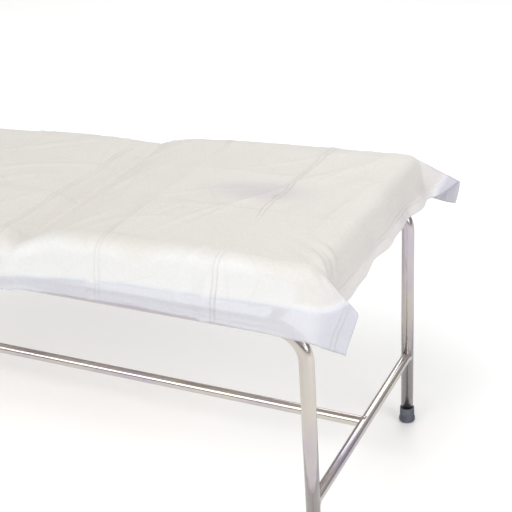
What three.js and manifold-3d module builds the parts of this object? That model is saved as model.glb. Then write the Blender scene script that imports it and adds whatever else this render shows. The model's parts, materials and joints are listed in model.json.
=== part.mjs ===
// Two-section massage couch: a chrome tube frame, a fixed body section, a lifting head section with a
// breathing hole, the prop that holds it up, and a thin throw-away sheet laid over both sections.
// Millimetres, +Z up, +X towards the head end, origin on the floor under the middle of the couch.
import * as THREE from "three";
import { mergeVertices } from "three/addons/utils/BufferGeometryUtils.js";
import Module from "manifold-3d";

const wasm = await Module();
wasm.setup();

// ---- driving dimensions ------------------------------------------------------------------------
const GAP = 0.3; // left between two pieces that touch
const TUBE_R = 15; // legs and side rails
const TUBE_WALL = 1.5;
const LEG_BOTTOM = 4; // the legs stand on the floor of their rubber tips
const BAR_R = 12.5; // cross bars and stretcher
const BEND_R = 62; // centreline of the bend between leg and rail
const LEG_X = 889; // leg axes, from the middle of the couch
const RAIL_Y = 302.5; // side frames, from the middle
const RAIL_Z = 586;
const END_BAR_Z = 189;
const TOP_RAIL_X = { head: 813, hinge: 264, middle: -275, foot: -813 };
const TIP_H = 40; // rubber tips under the legs
const TIP_R = 20;

const CUSHION_HALF_L = 925;
const CUSHION_HALF_W = 301;
const BOARD_Z = 611; // underside of both boards
const BOARD_T = 15;
const HEAD_TOP_Z = 700;
const BODY_TOP_Z = 680; // the body section is padded a little thinner
const COVER_T = 2;
const noseRadius = (top) => (top - BOARD_Z) / 2; // round end of a section at the crease
const END_ROUND = 34; // round of the outer ends
const EDGE_BEVEL = 22; // round along the long sides
const HALF_CREASE = 8;

const HINGE_X = 264;
const HINGE_Z = HEAD_TOP_Z - noseRadius(HEAD_TOP_Z);
const HEAD_TILT = THREE.MathUtils.degToRad(1.5); // the head section rests a little up, on its buffers
const HOLE_X = 402; // breathing hole, from the hinge axis
const HOLE_A = 92; // half length and half width of the hole
const HOLE_B = 55;

const PLATE_T = 3; // hinge plates
const BOSS_R = 10; // round eye of the hinge plates
const FLANGE_T = 4;
const FLANGE_END = 150; // flange of the hinge arm, from the hinge axis
const FLANGE_SCREWS = [60, 125];
const FLANGE_Y = 284;
const ARM_Y = 307.5; // inner face of the arm on the head section
const POST_Y = 312; // inner face of the post on the rail
const PIVOT_R = 4;
const BOLT_HEAD_R = 6.8;
const NUT_R = 7.5; // across the corners
const NUT_T = 4;
const PROP_R = 6;
const PROP_X = 200; // prop pivot, from the hinge axis
const PROP_DROP = 52;
const PROP_LEN = 270;
const PROP_REST = 0.041; // angle of the resting prop below level, in radians
const PROP_HALF_W = 215;
const PROP_BEND = 12;
const CLIP_Y = 195;
const CLIP_T = 3;
const CLIP_HALF_W = 6;
const CLIP_SCREW_X = 22; // screws of the prop clips, each side of the pivot
const RACK_Y = 200;
const RACK_T = 5;
const RACK_TOP = 588.2;
const RACK_H = 24;
const NOTCH_FIRST = 596;
const NOTCH_STEP = 28;
const NOTCH_COUNT = 5;
const NOTCH_DEEP = 9;
const NOTCH_WIDE = 15;
const BUFFER_R = 11;
const BUFFER_Y = 120;

const BRACKET_X = [-780, -300, 180];
const BRACKET_T = 4;
const BRACKET_HALF_L = 20;
const BRACKET_SCREW_Y = 277;
const SCREW_R = 2.5;
const SCREW_L = 15;
const SHEET_T = 1.5;
const SHEET_Y = 324; // inner face of the hanging sides
const SHEET_END = 990;
const SHEET_HEM_Z = 585;
const SHEET_END_Z = 622; // hem across the ends
const CREASE_ARC = THREE.MathUtils.degToRad(50); // each sheet stops this far above level on its round end

// ---- finishes ----------------------------------------------------------------------------------
const finish = (color, roughness, metalness) =>
  new THREE.MeshStandardMaterial({ color, roughness, metalness });
const chrome = finish(0xd6d4d0, 0.12, 1);
const zinc = finish(0xb4b6b8, 0.4, 1);
const enamel = finish(0xdedbd2, 0.4, 0);
const rubber = finish(0x4a4d55, 0.75, 0);
const plywood = finish(0xc7a878, 0.7, 0);
const foamStuff = finish(0xe8dfb4, 0.95, 0);
const vinyl = finish(0xf0ebdd, 0.45, 0);
const nonWoven = finish(0xf1eff0, 0.9, 0);

// ---- helpers -----------------------------------------------------------------------------------
const couch = new THREE.Group();

function add(name, geometry, material, parent = couch) {
  const mesh = new THREE.Mesh(geometry, material);
  mesh.name = name;
  parent.add(mesh);
  return mesh;
}

function toSolid(geometry) {
  const bare = geometry.clone();
  bare.deleteAttribute("normal");
  bare.deleteAttribute("uv");
  const merged = mergeVertices(bare, 1e-3);
  return new wasm.Manifold(
    new wasm.Mesh({
      numProp: 3,
      vertProperties: merged.attributes.position.array,
      triVerts: new Uint32Array(merged.index.array),
    }),
  );
}

function toGeometry(solid) {
  const mesh = solid.getMesh();
  const geometry = new THREE.BufferGeometry();
  geometry.setAttribute("position", new THREE.BufferAttribute(mesh.vertProperties, 3));
  geometry.setIndex(new THREE.BufferAttribute(mesh.triVerts, 1));
  return geometry;
}

function cut(geometry, ...tools) {
  return toGeometry(tools.reduce((s, t) => s.subtract(toSolid(t)), toSolid(geometry)));
}

function join(geometry, ...others) {
  return toGeometry(others.reduce((s, t) => s.add(toSolid(t)), toSolid(geometry)));
}

// Two distances out from the middle, on side s, in rising order.
const span = (s, a, b) => [s * a, s * b].sort((p, q) => p - q);

const box = (x0, x1, y0, y1, z0, z1) =>
  new THREE.BoxGeometry(x1 - x0, y1 - y0, z1 - z0).translate(
    (x0 + x1) / 2,
    (y0 + y1) / 2,
    (z0 + z1) / 2,
  );

// Round bar of one radius: along X, Y or Z, from a to b on that axis, through the point (p, q).
function rod(axis, radius, a, b, p, q, sides = 20) {
  const g = new THREE.CylinderGeometry(radius, radius, b - a, sides);
  const mid = (a + b) / 2;
  if (axis === "x") return g.rotateZ(Math.PI / 2).translate(mid, p, q);
  if (axis === "y") return g.translate(p, mid, q);
  return g.rotateX(Math.PI / 2).translate(p, q, mid);
}

// Turned form: radius and height pairs carried round its own Y axis.
function turned(profile, sides) {
  return new THREE.LatheGeometry(profile.map(([r, z]) => new THREE.Vector2(r, z)), sides);
}

// Straight tube, its ends shaped to the round members it meets.
function straightTube(axis, radius, a, b, p, q, members) {
  const inner = rod(axis, radius - TUBE_WALL, a - 1, b + 1, p, q, 14);
  return cut(rod(axis, radius, a, b, p, q), inner, ...members);
}

// Outline in X and Z, thickened from y0 to y1.
function plateXZ(shape, y0, y1, curveSegments = 10) {
  const g = new THREE.ExtrudeGeometry(shape, { depth: y1 - y0, bevelEnabled: false, curveSegments });
  return g.rotateX(Math.PI / 2).translate(0, y1, 0);
}

// A path through given points, so that each section of the sweep lands on one of them.
class BentLine extends THREE.Curve {
  constructor(points) {
    super();
    this.points = points;
  }
  getPoint(t) {
    const s = t * (this.points.length - 1);
    const i = Math.min(Math.floor(s), this.points.length - 2);
    return this.points[i].clone().lerp(this.points[i + 1], s - i);
  }
  getPointAt(u) {
    return this.getPoint(u);
  }
  getTangentAt(u) {
    const n = this.points.length - 1;
    const i = Math.round(u * n);
    const before = this.points[Math.max(i - 1, 0)];
    const after = this.points[Math.min(i + 1, n)];
    return after.clone().sub(before).normalize();
  }
}

// Corner points joined by straight runs and round bends of one radius.
function bentPoints(corners, radius, steps) {
  const points = [corners[0].clone()];
  for (let i = 1; i < corners.length - 1; i++) {
    const u = corners[i - 1].clone().sub(corners[i]).normalize();
    const v = corners[i + 1].clone().sub(corners[i]).normalize();
    const half = u.angleTo(v) / 2;
    const centre = corners[i].clone().addScaledVector(u.clone().add(v).normalize(), radius / Math.sin(half));
    const from = corners[i].clone().addScaledVector(u, radius / Math.tan(half)).sub(centre);
    const to = corners[i].clone().addScaledVector(v, radius / Math.tan(half)).sub(centre);
    const turn = from.angleTo(to);
    for (let k = 0; k <= steps; k++) {
      const a = Math.sin(turn * (1 - k / steps)) / Math.sin(turn);
      const b = Math.sin((turn * k) / steps) / Math.sin(turn);
      points.push(centre.clone().addScaledVector(from, a).addScaledVector(to, b));
    }
  }
  points.push(corners[corners.length - 1].clone());
  return points;
}

function bentRod(corners, bend, radius, { wall = 0, steps = 8, sides = 16 } = {}) {
  const section = new THREE.Shape().absarc(0, 0, radius, 0, 2 * Math.PI);
  if (wall) section.holes.push(new THREE.Path().absarc(0, 0, radius - wall, 0, 2 * Math.PI, true));
  const points = bentPoints(corners, bend, steps);
  return new THREE.ExtrudeGeometry(section, {
    steps: points.length - 1,
    curveSegments: sides / 2,
    extrudePath: new BentLine(points),
  });
}

const sides = [
  ["near", -1],
  ["far", 1],
];
const ends = [
  ["head", 1],
  ["foot", -1],
];
// Outline of a boss of radius r at the origin that widens downwards into a foot.
function lugShape(r, halfFoot, bottom) {
  const s = new THREE.Shape();
  s.moveTo(-halfFoot, bottom);
  s.lineTo(halfFoot, bottom);
  s.lineTo(r, 0);
  s.absarc(0, 0, r, 0, Math.PI);
  s.lineTo(-halfFoot, bottom);
  return s;
}

// ---- chrome frame ------------------------------------------------------------------------------
const railRod = (y) => rod("x", TUBE_R + GAP, -LEG_X, LEG_X, y, RAIL_Z, 28);
const legRod = (x, y) => rod("z", TUBE_R + GAP, 0, RAIL_Z, x, y, 28);

for (const [side, s] of sides) {
  const y = s * RAIL_Y;
  const corners = [
    new THREE.Vector3(-LEG_X, y, LEG_BOTTOM),
    new THREE.Vector3(-LEG_X, y, RAIL_Z),
    new THREE.Vector3(LEG_X, y, RAIL_Z),
    new THREE.Vector3(LEG_X, y, LEG_BOTTOM),
  ];
  const tube = bentRod(corners, BEND_R, TUBE_R, { wall: TUBE_WALL, steps: 9, sides: 20 });
  add(`side_frame_${side}`, tube, chrome);
}

for (const [end, s] of ends) {
  const x = s * LEG_X;
  const legs = [legRod(x, -RAIL_Y), legRod(x, RAIL_Y)];
  add(`end_bar_${end}`, straightTube("y", BAR_R, -RAIL_Y, RAIL_Y, x, END_BAR_Z, legs), chrome);
}
const endBars = ends.map(([, s]) => rod("y", BAR_R + GAP, -100, 100, s * LEG_X, END_BAR_Z, 28));
add("stretcher", straightTube("x", BAR_R, -LEG_X, LEG_X, 0, END_BAR_Z, endBars), chrome);

for (const [where, x] of Object.entries(TOP_RAIL_X)) {
  const rails = [railRod(-RAIL_Y), railRod(RAIL_Y)];
  add(`top_rail_${where}`, straightTube("y", BAR_R, -RAIL_Y, RAIL_Y, x, RAIL_Z, rails), chrome);
}

// Rubber tips: a cup with a flared foot, pushed up over the end of each leg.
for (const [end, sx] of ends)
  for (const [side, sy] of sides) {
    const bore = TUBE_R + GAP;
    const foot = [[0, 0], [TIP_R - 4, 0], [TIP_R - 1, 1.5], [TIP_R, 5], [TIP_R - 0.6, 10]];
    const rim = [[bore + 2.6, 14], [bore + 2.2, TIP_H - 2], [bore + 1.2, TIP_H], [bore, TIP_H]];
    const inside = [[bore, LEG_BOTTOM - GAP], [0, LEG_BOTTOM - GAP]];
    const tip = turned([...foot, ...rim, ...inside], 24).rotateX(Math.PI / 2);
    add(`rubber_tip_${end}_${side}`, tip, rubber).position.set(sx * LEG_X, sy * RAIL_Y, 0);
  }

// ---- padded sections ---------------------------------------------------------------------------
// Side outline of a section, drawn from the crease (x = 0) towards its outer end. inset shrinks it all
// round.
function sectionShape(length, top, inset) {
  const nose = noseRadius(top) - inset;
  const middle = (top + BOARD_Z) / 2;
  const noseX = HALF_CREASE + noseRadius(top);
  const end = length - inset;
  const round = END_ROUND - inset;
  const s = new THREE.Shape();
  s.moveTo(noseX, middle - nose);
  s.lineTo(end - 6, middle - nose);
  s.lineTo(end, middle - nose + 6);
  s.lineTo(end, middle + nose - round);
  s.absarc(end - round, middle + nose - round, round, 0, Math.PI / 2);
  s.lineTo(noseX, middle + nose);
  s.absarc(noseX, middle, nose, Math.PI / 2, 1.5 * Math.PI);
  return s;
}

// The section as a closed form with rounded long sides, cut level underneath at z = floor.
function sectionForm(length, top, inset, floor) {
  const bevel = EDGE_BEVEL - inset;
  const depth = 2 * (CUSHION_HALF_W - EDGE_BEVEL);
  const form = new THREE.ExtrudeGeometry(sectionShape(length, top, inset + bevel), {
    depth,
    bevelThickness: bevel,
    bevelSize: bevel,
    bevelSegments: 3,
    curveSegments: 7,
  });
  form.rotateX(Math.PI / 2).translate(0, depth / 2, 0);
  const width = CUSHION_HALF_W - inset;
  const skirtX = HALF_CREASE + noseRadius(top) + 4;
  const skirt = box(skirtX, length - inset, -width, width, BOARD_Z, (top + BOARD_Z) / 2 - 4);
  const below = box(-10, length + 10, -400, 400, BOARD_Z - 100, floor);
  return cut(join(form, skirt), below);
}

function holeRod(grow) {
  const oval = new THREE.Shape().absellipse(HOLE_X, 0, HOLE_A + grow, HOLE_B + grow, 0, 2 * Math.PI);
  return new THREE.ExtrudeGeometry(oval, { depth: 200, bevelEnabled: false, curveSegments: 16 }).translate(
    0, 0, BOARD_Z - 50);
}

// Adds the board, foam and cover of one section, in a group that runs +X from the crease.
function addSection(name, length, top, parent, screwHoles, withHole) {
  const hole = (grow) => (withHole ? [holeRod(grow)] : []);
  const lining = COVER_T + GAP;
  const boardTop = BOARD_Z + BOARD_T;
  const start = HALF_CREASE + noseRadius(top);
  const width = CUSHION_HALF_W - lining;
  const board = box(start, length - lining - 1, -width, width, BOARD_Z, boardTop);
  add(`${name}_board`, cut(board, ...hole(lining), ...screwHoles), plywood, parent);
  const foam = sectionForm(length, top, lining, boardTop + GAP);
  add(`${name}_foam`, cut(foam, ...hole(lining)), foamStuff, parent);
  const outer = cut(sectionForm(length, top, 0, BOARD_Z), ...hole(0));
  const inner = cut(sectionForm(length, top, COVER_T, BOARD_Z - 1), ...hole(COVER_T));
  const inside = CUSHION_HALF_W - COVER_T;
  const mouth = box(start - GAP, length - COVER_T - 0.5, -inside, inside, BOARD_Z - 5, boardTop);
  add(`${name}_cover`, cut(outer, inner, cut(mouth, ...hole(COVER_T))), vinyl, parent);
}

// Pan-head screw pointing up, its head's upper face at z = 0.
function screw() {
  const head = [[0, -3], [3, -3], [4.6, -1.6], [4.8, 0]];
  const shank = [[SCREW_R, 0], [SCREW_R, SCREW_L - 3], [0, SCREW_L]];
  return turned([...head, ...shank], 12).rotateX(Math.PI / 2);
}
const screwHole = (x, y, z0) => rod("z", SCREW_R + GAP, z0, z0 + SCREW_L + 4, x, y, 12);

// ---- body section, fixed on six brackets ---------------------------------------------------------
// The group is turned round, so that its own +X runs from the crease to the foot end.
const bodyGroup = new THREE.Group();
bodyGroup.position.x = HINGE_X;
bodyGroup.rotation.z = Math.PI;
couch.add(bodyGroup);
const bodyHoles = BRACKET_X.flatMap((x) =>
  sides.map(([, s]) => screwHole(HINGE_X - x, s * BRACKET_SCREW_Y, BOARD_Z - 5)),
);
addSection("body", HINGE_X + CUSHION_HALF_L, BODY_TOP_Z, bodyGroup, bodyHoles, false);

BRACKET_X.forEach((x, i) => {
  for (const [side, s] of sides) {
    const top = BOARD_Z - GAP;
    const [y0, y1] = span(s, 262, 308);
    const [f0, f1] = span(s, 297, 308);
    const [x0, x1] = [x - BRACKET_HALF_L, x + BRACKET_HALF_L];
    const tab = join(box(x0, x1, y0, y1, top - BRACKET_T, top), box(x0, x1, f0, f1, RAIL_Z, top - 1));
    const hole = screwHole(x, s * BRACKET_SCREW_Y, top - 10);
    add(`bracket_${i + 1}_${side}`, cut(tab, railRod(s * RAIL_Y), hole), zinc);
    const place = [x, s * BRACKET_SCREW_Y, top - BRACKET_T - GAP];
    add(`bracket_screw_${i + 1}_${side}`, screw(), zinc).position.set(...place);
  }
});

// ---- head section, turning on the hinge axis ---------------------------------------------------
// headGroup is tilted about the hinge axis. Inside it, x runs from that axis and heights are those of a
// level couch.
const headGroup = new THREE.Group();
headGroup.position.set(HINGE_X, 0, HINGE_Z);
headGroup.rotation.y = -HEAD_TILT;
couch.add(headGroup);
const levelled = new THREE.Group();
levelled.position.z = -HINGE_Z;
headGroup.add(levelled);

const headHoles = sides.flatMap(([, s]) => [
  ...FLANGE_SCREWS.map((x) => screwHole(x, s * FLANGE_Y, BOARD_Z - 5)),
  ...[-1, 1].map((k) => screwHole(PROP_X + k * CLIP_SCREW_X, s * CLIP_Y, BOARD_Z - 5)),
]);
addSection("head", CUSHION_HALF_L - HINGE_X, HEAD_TOP_Z, levelled, headHoles, true);

// Hinge: an arm with a flange screwed under the head board turns on a bolt in a post welded to the rail.
for (const [side, s] of sides) {
  const under = BOARD_Z - GAP;
  const web = new THREE.Shape();
  web.moveTo(26, under - FLANGE_T);
  web.lineTo(FLANGE_END, under - FLANGE_T);
  web.lineTo(FLANGE_END, under + 6);
  web.lineTo(BOSS_R * 0.7, HINGE_Z + BOSS_R * 0.7);
  web.absarc(0, HINGE_Z, BOSS_R, Math.PI / 4, 1.25 * Math.PI);
  const [a0, a1] = span(s, ARM_Y, ARM_Y + PLATE_T);
  const [b0, b1] = span(s, 268, ARM_Y + PLATE_T - 0.2);
  const flange = box(30, FLANGE_END, b0, b1, under - FLANGE_T, under);
  const armHoles = FLANGE_SCREWS.map((x) => screwHole(x, s * FLANGE_Y, under - 2 * FLANGE_T));
  const pivotHole = rod("y", PIVOT_R + GAP, s * ARM_Y - 12, s * ARM_Y + 12, 0, HINGE_Z, 20);
  const arm = join(plateXZ(web, a0, a1), flange);
  add(`hinge_arm_${side}`, cut(arm, pivotHole, ...armHoles), enamel, levelled);
  FLANGE_SCREWS.forEach((x, i) => {
    const head = add(`hinge_screw_${i + 1}_${side}`, screw(), zinc, levelled);
    head.position.set(x, s * FLANGE_Y, under - FLANGE_T - GAP);
  });

  const [p0, p1] = span(s, POST_Y, POST_Y + PLATE_T);
  const post = plateXZ(lugShape(BOSS_R, 24, RAIL_Z - HINGE_Z), p0, p1).translate(HINGE_X, 0, HINGE_Z);
  const postHole = rod("y", PIVOT_R + GAP, s * POST_Y - 12, s * POST_Y + 12, HINGE_X, HINGE_Z, 20);
  add(`hinge_post_${side}`, cut(post, railRod(s * RAIL_Y), postHole), enamel);

  // Bolt from outside, with a domed head, and a thin nut inside the arm.
  const reach = POST_Y + PLATE_T + GAP;
  const shank = [[0, reach - 12.6], [PIVOT_R, reach - 12.6], [PIVOT_R, reach]];
  const dome = [[BOLT_HEAD_R, reach], [BOLT_HEAD_R, reach + 2.5], [4.5, reach + 4.6], [0, reach + 5]];
  const boltMesh = add(`pivot_bolt_${side}`, turned([...shank, ...dome], 20), chrome);
  boltMesh.position.set(HINGE_X, 0, HINGE_Z);
  if (s < 0) boltMesh.rotation.x = Math.PI;
  const nut = cut(
    new THREE.CylinderGeometry(NUT_R, NUT_R, NUT_T, 6).translate(0, ARM_Y - NUT_T / 2 - GAP, 0),
    new THREE.CylinderGeometry(PIVOT_R + GAP, PIVOT_R + GAP, 40, 16).translate(0, ARM_Y, 0),
  );
  const nutMesh = add(`pivot_nut_${side}`, nut, zinc);
  nutMesh.position.set(HINGE_X, 0, HINGE_Z);
  if (s < 0) nutMesh.rotation.x = Math.PI;
}

// Rubber buffers on the end rail, under the head board.
for (const [side, s] of sides) {
  const x = TOP_RAIL_X.head;
  const top = BOARD_Z + (x - BUFFER_R - 1 - HINGE_X) * Math.tan(HEAD_TILT) - 2 * GAP;
  const buffer = rod("z", BUFFER_R, RAIL_Z, top, x, s * BUFFER_Y, 20);
  add(`rest_buffer_${side}`, cut(buffer, rod("y", BAR_R + GAP, -200, 200, x, RAIL_Z, 28)), rubber);
}

// ---- prop that holds the head section up ----------------------------------------------------------
// A bent rod hangs from two clips under the head board. Its bar drops into the notches of two racks.
const propPivot = new THREE.Vector3(PROP_X, 0, -PROP_DROP);
propPivot.applyAxisAngle(new THREE.Vector3(0, 1, 0), -HEAD_TILT);
const propGroup = new THREE.Group();
propGroup.position.set(HINGE_X + propPivot.x, 0, HINGE_Z + propPivot.z);
propGroup.rotation.y = PROP_REST;
couch.add(propGroup);
const propCorners = [
  [0, -CLIP_Y + 10], [0, -PROP_HALF_W], [PROP_LEN, -PROP_HALF_W],
  [PROP_LEN, PROP_HALF_W], [0, PROP_HALF_W], [0, CLIP_Y - 10],
].map(([x, y]) => new THREE.Vector3(x, y, 0));
add("prop_frame", bentRod(propCorners, PROP_BEND, PROP_R, { steps: 5, sides: 12 }), chrome, propGroup);

for (const [side, s] of sides) {
  const under = BOARD_Z - GAP;
  const centre = HINGE_Z - PROP_DROP;
  const y0 = s * CLIP_Y - CLIP_HALF_W;
  const y1 = s * CLIP_Y + CLIP_HALF_W;
  const ears = box(PROP_X - 34, PROP_X + 34, y0 - 2, y1 + 2, under - CLIP_T, under);
  const hump = rod("y", PROP_R + 4, y0, y1, PROP_X, centre, 20);
  const bridge = box(PROP_X - PROP_R - 4, PROP_X + PROP_R + 4, y0, y1, centre, under - 0.2);
  const holes = [-1, 1].map((k) => screwHole(PROP_X + k * CLIP_SCREW_X, s * CLIP_Y, under - 10));
  const bore = rod("y", PROP_R + GAP, y0 - 5, y1 + 5, PROP_X, centre, 24);
  const above = box(PROP_X - 50, PROP_X + 50, y0 - 5, y1 + 5, under, under + 30);
  add(`prop_clip_${side}`, cut(join(ears, hump, bridge), bore, above, ...holes), zinc, levelled);
  [-1, 1].forEach((k, i) => {
    const fixing = add(`clip_screw_${i + 1}_${side}`, screw(), zinc, levelled);
    fixing.position.set(PROP_X + k * CLIP_SCREW_X, s * CLIP_Y, under - CLIP_T - GAP);
  });
}

// Racks: flat bars with slanted notches, welded between the hinge rail and the end rail.
for (const [side, s] of sides) {
  const rack = new THREE.Shape();
  const x0 = TOP_RAIL_X.hinge;
  const x1 = TOP_RAIL_X.head;
  rack.moveTo(x0, RACK_TOP - RACK_H);
  rack.lineTo(x1, RACK_TOP - RACK_H);
  rack.lineTo(x1, RACK_TOP);
  for (let i = NOTCH_COUNT - 1; i >= 0; i--) {
    const x = NOTCH_FIRST + i * NOTCH_STEP;
    rack.lineTo(x + NOTCH_WIDE, RACK_TOP);
    rack.lineTo(x + NOTCH_WIDE - 1, RACK_TOP - NOTCH_DEEP);
    rack.lineTo(x + 3, RACK_TOP - NOTCH_DEEP);
    rack.lineTo(x - 5, RACK_TOP);
  }
  rack.lineTo(x0, RACK_TOP);
  const tools = [x0, x1].map((x) => rod("y", BAR_R + GAP, -300, 300, x, RAIL_Z, 28));
  add(`rack_${side}`, cut(plateXZ(rack, s * RACK_Y - RACK_T / 2, s * RACK_Y + RACK_T / 2), ...tools), zinc);
}

// ---- throw-away sheet, one plain piece on each section ---------------------------------------------
// Top, hanging sides and end of the sheet over a section, with its cut corners standing out past the end.
function addSheet(name, dir, top, tilt) {
  const lift = GAP + 0.2;
  const start = HALF_CREASE + noseRadius(top);
  const rise = (x) => tilt * (x - start);
  const length = dir > 0 ? CUSHION_HALF_L - HINGE_X : CUSHION_HALF_L + HINGE_X;
  const out = SHEET_END - CUSHION_HALF_L;
  const dropTop = length + out * 0.35;
  const startRise = tilt * start;
  const middle = (top + BOARD_Z) / 2 + startRise;
  const arcPoint = (r, a) => [start - r * Math.cos(a), middle + r * Math.sin(a)];
  const inner = noseRadius(top) + lift;
  const outer = inner + SHEET_T;
  const lid = new THREE.Shape();
  const steps = 5;
  lid.moveTo(...arcPoint(inner, CREASE_ARC));
  for (let k = 1; k <= steps; k++)
    lid.lineTo(...arcPoint(inner, CREASE_ARC + ((Math.PI / 2 - CREASE_ARC) * k) / steps));
  const topIn = middle + inner;
  lid.lineTo(dropTop - SHEET_T, topIn + rise(dropTop));
  lid.lineTo(dropTop - SHEET_T, SHEET_END_Z);
  lid.lineTo(dropTop, SHEET_END_Z);
  lid.lineTo(dropTop, topIn + rise(dropTop) + SHEET_T);
  for (let k = steps; k >= 0; k--)
    lid.lineTo(...arcPoint(outer, CREASE_ARC + ((Math.PI / 2 - CREASE_ARC) * k) / steps));
  const flap = new THREE.Shape();
  flap.moveTo(start, SHEET_HEM_Z);
  flap.lineTo(length + out * 0.8, SHEET_HEM_Z - 5);
  flap.lineTo(length + out, 660);
  flap.lineTo(dropTop, topIn + rise(dropTop) + SHEET_T);
  flap.lineTo(start, topIn + SHEET_T);
  const width = SHEET_Y + SHEET_T;
  const cloth = join(
    plateXZ(lid, -width, width),
    plateXZ(flap, SHEET_Y, width),
    plateXZ(flap, -width, -SHEET_Y),
  );
  const mesh = add(name, cloth, nonWoven);
  mesh.position.x = HINGE_X;
  if (dir < 0) mesh.rotation.z = Math.PI;
}
addSheet("sheet_head", 1, HEAD_TOP_Z, Math.tan(HEAD_TILT));
addSheet("sheet_body", -1, BODY_TOP_Z, 0);

export default couch;
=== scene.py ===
"""Looks for a padded massage couch: chrome tube frame, two upholstered sections, a thin throw-away
sheet."""

import json
import math

import bmesh
import bpy
import numpy as np
from bpy.props import FloatProperty, FloatVectorProperty, IntProperty, PointerProperty
from mathutils import Matrix, Vector


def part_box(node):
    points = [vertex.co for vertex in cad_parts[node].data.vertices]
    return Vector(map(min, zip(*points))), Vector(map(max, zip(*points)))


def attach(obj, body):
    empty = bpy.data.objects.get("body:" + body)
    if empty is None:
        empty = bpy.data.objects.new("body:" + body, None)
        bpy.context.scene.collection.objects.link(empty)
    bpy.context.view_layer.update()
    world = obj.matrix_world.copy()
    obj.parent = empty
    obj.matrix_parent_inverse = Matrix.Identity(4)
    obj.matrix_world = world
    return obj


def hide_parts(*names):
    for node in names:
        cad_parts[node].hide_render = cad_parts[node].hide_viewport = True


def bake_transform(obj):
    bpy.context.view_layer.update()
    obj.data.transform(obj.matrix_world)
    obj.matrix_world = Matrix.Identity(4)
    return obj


bl_info = {
    "name": "Massage couch",
    "version": (1, 0, 0),
    "blender": (4, 5, 0),
    "location": "View3D > Sidebar > Couch",
    "description": "Builds the chrome frame, the padded sections and the draped sheet of a massage couch",
    "category": "Object",
}

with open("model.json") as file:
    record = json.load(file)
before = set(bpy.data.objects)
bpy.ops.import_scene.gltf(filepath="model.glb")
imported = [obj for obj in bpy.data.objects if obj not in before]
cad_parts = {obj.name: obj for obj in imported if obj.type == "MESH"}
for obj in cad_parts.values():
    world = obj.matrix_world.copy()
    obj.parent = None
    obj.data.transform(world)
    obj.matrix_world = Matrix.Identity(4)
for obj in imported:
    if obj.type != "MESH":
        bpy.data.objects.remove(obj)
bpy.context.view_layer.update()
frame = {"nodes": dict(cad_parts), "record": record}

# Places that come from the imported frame, in metres.
HINGE = np.array(frame["record"]["behaviour"]["joints"][0]["pos_m"], float)
HEAD_START = float(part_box("head_cover")[0][0])
BODY_LOW, BODY_HIGH = (np.array(c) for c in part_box("body_cover"))
TIP_LOW, TIP_HIGH = (np.array(c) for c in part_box("rubber_tip_head_far"))
HALF_LENGTH = float(-BODY_LOW[0])
HALF_WIDTH = float(BODY_HIGH[1])
BOARD_BOTTOM = float(BODY_LOW[2])
LEG_X, LEG_Y = (float(c) for c in (TIP_LOW + TIP_HIGH)[:2] / 2)
RAIL_TOP = float(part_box("side_frame_far")[1][2])
TUBE_R = float(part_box("side_frame_far")[1][1] - LEG_Y)
RAIL_Z = RAIL_TOP - TUBE_R
# Where the side tubes end, inside their rubber tips.
LEG_FOOT = 0.006
# Slope of the head section at rest, as the part is built.
TILT = math.radians(1.5)


# ---- settings ---------------------------------------------------------------------------------------


def size(name, description, default, least, most):
    """A length in metres that a user may change."""
    return FloatProperty(
        name=name, description=description, default=default, min=least, max=most,
        subtype="DISTANCE", unit="LENGTH",
    )


def tint(name, description, default):
    """A colour that a user may change."""
    return FloatVectorProperty(
        name=name, description=description, default=default, min=0.0, max=1.0, subtype="COLOR",
    )


class CouchFrameSettings(bpy.types.PropertyGroup):
    """Sizes and colours of the metal and rubber parts."""

    bend_radius: size("Leg bend radius", "Centreline radius of the bend from leg to rail", 0.062, 0.04, 0.09)
    bead: size("Weld bead", "How far the brazed fillet stands proud of a cross bar", 0.0022, 0.0, 0.005)
    chrome_colour: tint("Chrome", "Tint of the plated tubes", (0.54, 0.505, 0.46))
    rubber_colour: tint("Rubber", "Colour of the leg tips and buffers", (0.075, 0.08, 0.10))
    enamel_colour: tint("Enamel", "Colour of the painted hinge plates", (0.74, 0.72, 0.66))


class CouchPadSettings(bpy.types.PropertyGroup):
    """Shape and colour of the two upholstered sections."""

    pressure: FloatProperty(
        name="Fill pressure", description="Pressure that swells the foam inside its cover",
        default=4.0, min=0.0, max=10.0,
    )
    swell: size("Most swelling", "How far a point of the cover may move while it fills", 0.005, 0.0, 0.02)
    grain: size("Leather grain", "Size of one cell of the embossed grain", 0.0016, 0.0005, 0.005)
    vinyl_colour: tint("Vinyl", "Colour of the upholstery", (0.90, 0.865, 0.785))


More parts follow.
